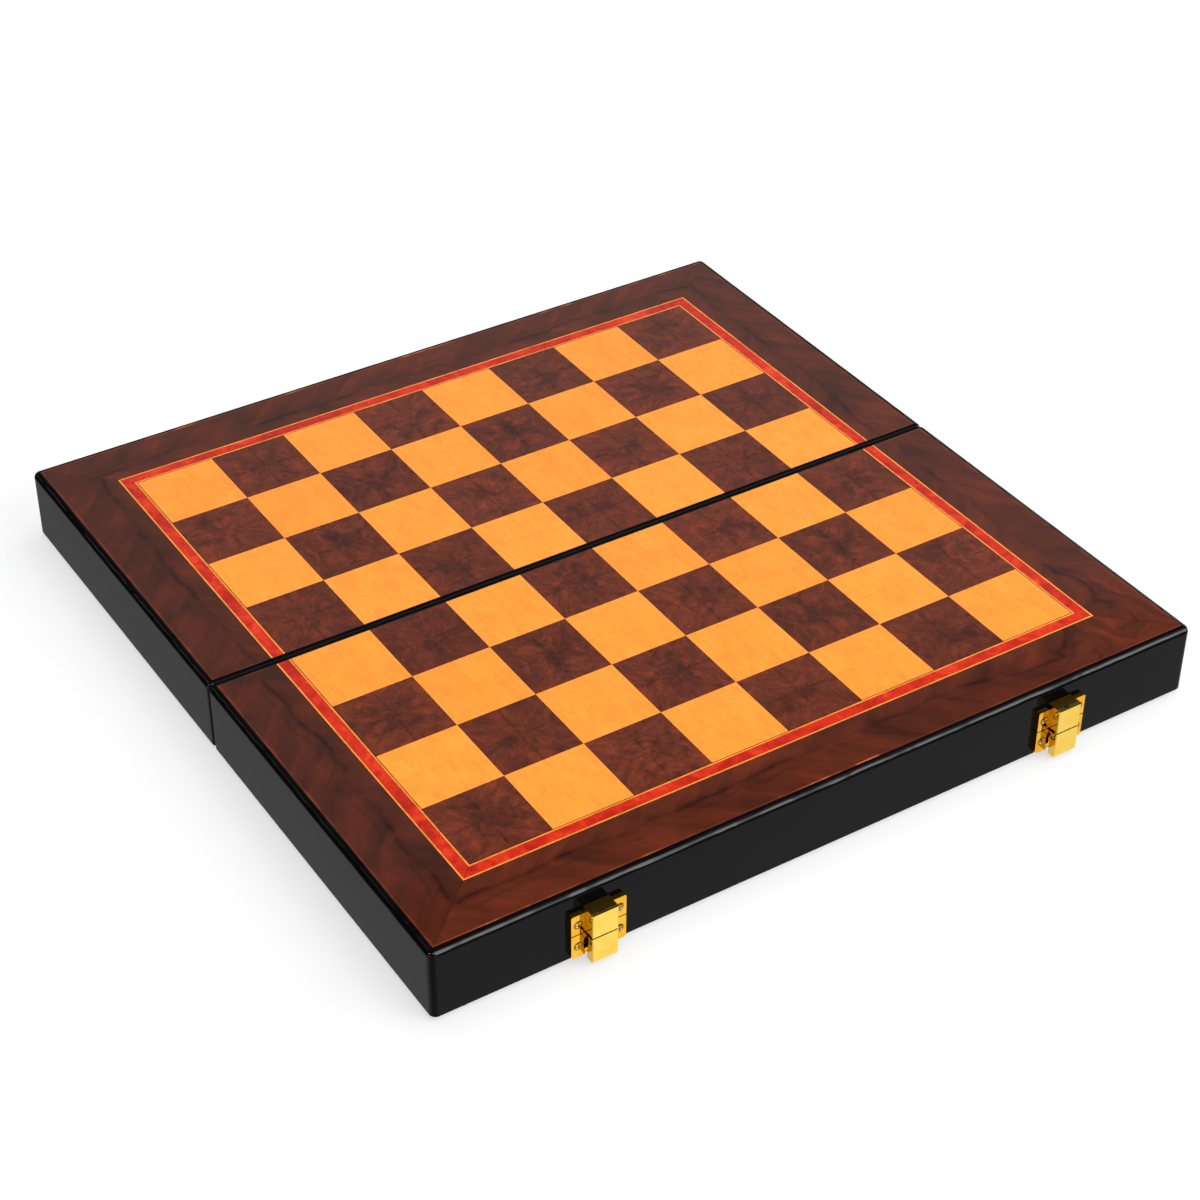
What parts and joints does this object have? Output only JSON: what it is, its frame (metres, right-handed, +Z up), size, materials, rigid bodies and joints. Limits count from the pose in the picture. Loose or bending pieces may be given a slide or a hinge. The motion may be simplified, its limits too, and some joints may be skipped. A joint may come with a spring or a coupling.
{
  "type": "folding chess board",
  "caption": "Folding chess board: two hollow lacquered halves with an inlaid chequered top, hinged along the seam, that close with clasps into a flat box for the pieces.",
  "frame": {"origin": "middle of the seam between the two halves, on the surface that the open board rests on", "axes": "+X to the right along the front edge and the seam, +Y from the front half to the back half, +Z up; shown open and flat, playing surface up"},
  "size_m": [0.3, 0.3085, 0.0285],
  "materials": {
    "black_lacquer": "black polyester lacquer, polished",
    "panel_core": "raw fibreboard, hidden",
    "light_veneer": "golden maple veneer under clear gloss lacquer",
    "dark_veneer": "dark red-brown burl veneer under clear gloss lacquer",
    "border_veneer": "dark red-brown figured veneer under clear gloss lacquer",
    "red_inlay": "mottled red inlay under clear gloss lacquer",
    "stringing": "thin golden wood inlay",
    "line_inlay": "thin dark wood line",
    "lining_velvet": "wine-red flock",
    "divider_velvet": "wine-red flock over thin board",
    "felt": "black wool felt",
    "clasp_gold": "gold plated, polished",
    "hinge_gold": "gold plated, fine brushed",
    "gold_screws": "gold plated",
    "pins": "plated steel wire"
  },
  "bodies": {
    "front_half": {"front_border_left": "border_veneer", "front_border_outer": "border_veneer", "front_border_right": "border_veneer", "front_dark_squares": "dark_veneer", "front_felt_feet": "felt", "front_floor_pad": "lining_velvet", "front_hinge_leaves": "hinge_gold", "front_hinge_screws": "gold_screws", "front_inner_rail": "black_lacquer", "front_inner_stringing": "stringing", "front_left_rail": "black_lacquer", "front_light_squares": "light_veneer", "front_long_divider": "divider_velvet", "front_major_dividers": "divider_velvet", "front_outer_rail": "black_lacquer", "front_outer_stringing": "stringing", "front_pawn_dividers": "divider_velvet", "front_red_band": "red_inlay", "front_right_rail": "black_lacquer", "front_square_line": "line_inlay", "front_top_panel": "panel_core", "front_wall_lining": "lining_velvet", "clasp_lever_pins": "pins", "clasp_lower_plate_left": "clasp_gold", "clasp_lower_plate_right": "clasp_gold", "clasp_screws": "gold_screws", "clasp_upper_plate_left": "clasp_gold", "clasp_upper_plate_right": "clasp_gold", "hinge_pins": "pins"},
    "back_half": {"back_border_left": "border_veneer", "back_border_outer": "border_veneer", "back_border_right": "border_veneer", "back_dark_squares": "dark_veneer", "back_felt_feet": "felt", "back_floor_pad": "lining_velvet", "back_hinge_leaves": "hinge_gold", "back_hinge_screws": "gold_screws", "back_inner_rail": "black_lacquer", "back_inner_stringing": "stringing", "back_left_rail": "black_lacquer", "back_light_squares": "light_veneer", "back_long_divider": "divider_velvet", "back_major_dividers": "divider_velvet", "back_outer_rail": "black_lacquer", "back_outer_stringing": "stringing", "back_pawn_dividers": "divider_velvet", "back_red_band": "red_inlay", "back_right_rail": "black_lacquer", "back_square_line": "line_inlay", "back_top_panel": "panel_core", "back_wall_lining": "lining_velvet", "hasp_pins": "pins", "hasp_plate_left": "clasp_gold", "hasp_plate_right": "clasp_gold", "hasp_screws": "gold_screws"},
    "clasp_lever_left": {"clasp_lever_left": "clasp_gold"},
    "clasp_lever_right": {"clasp_lever_right": "clasp_gold"},
    "hasp_strap_left": {"hasp_strap_left": "clasp_gold"},
    "hasp_strap_right": {"hasp_strap_right": "clasp_gold"}
  },
  "joints": [
    {"name": "fold", "type": "hinge", "parent": "front_half", "child": "back_half", "pos_m": [0, 0, 0.0015], "axis": [-1, 0, 0], "range_deg": [0, 179.35]},
    {"name": "clasp_lever_left_pivot", "type": "hinge", "parent": "front_half", "child": "clasp_lever_left", "pos_m": [-0.092, -0.1539, 0.0102], "axis": [-1, 0, 0], "range_deg": [0, 88]},
    {"name": "clasp_lever_right_pivot", "type": "hinge", "parent": "front_half", "child": "clasp_lever_right", "pos_m": [0.092, -0.1539, 0.0102], "axis": [-1, 0, 0], "range_deg": [0, 88]},
    {"name": "hasp_left_pivot", "type": "hinge", "parent": "back_half", "child": "hasp_strap_left", "pos_m": [-0.092, 0.1515, 0.0032], "axis": [-1, 0, 0], "range_deg": [0, 180]},
    {"name": "hasp_right_pivot", "type": "hinge", "parent": "back_half", "child": "hasp_strap_right", "pos_m": [0.092, 0.1515, 0.0032], "axis": [-1, 0, 0], "range_deg": [0, 180]}
  ]
}
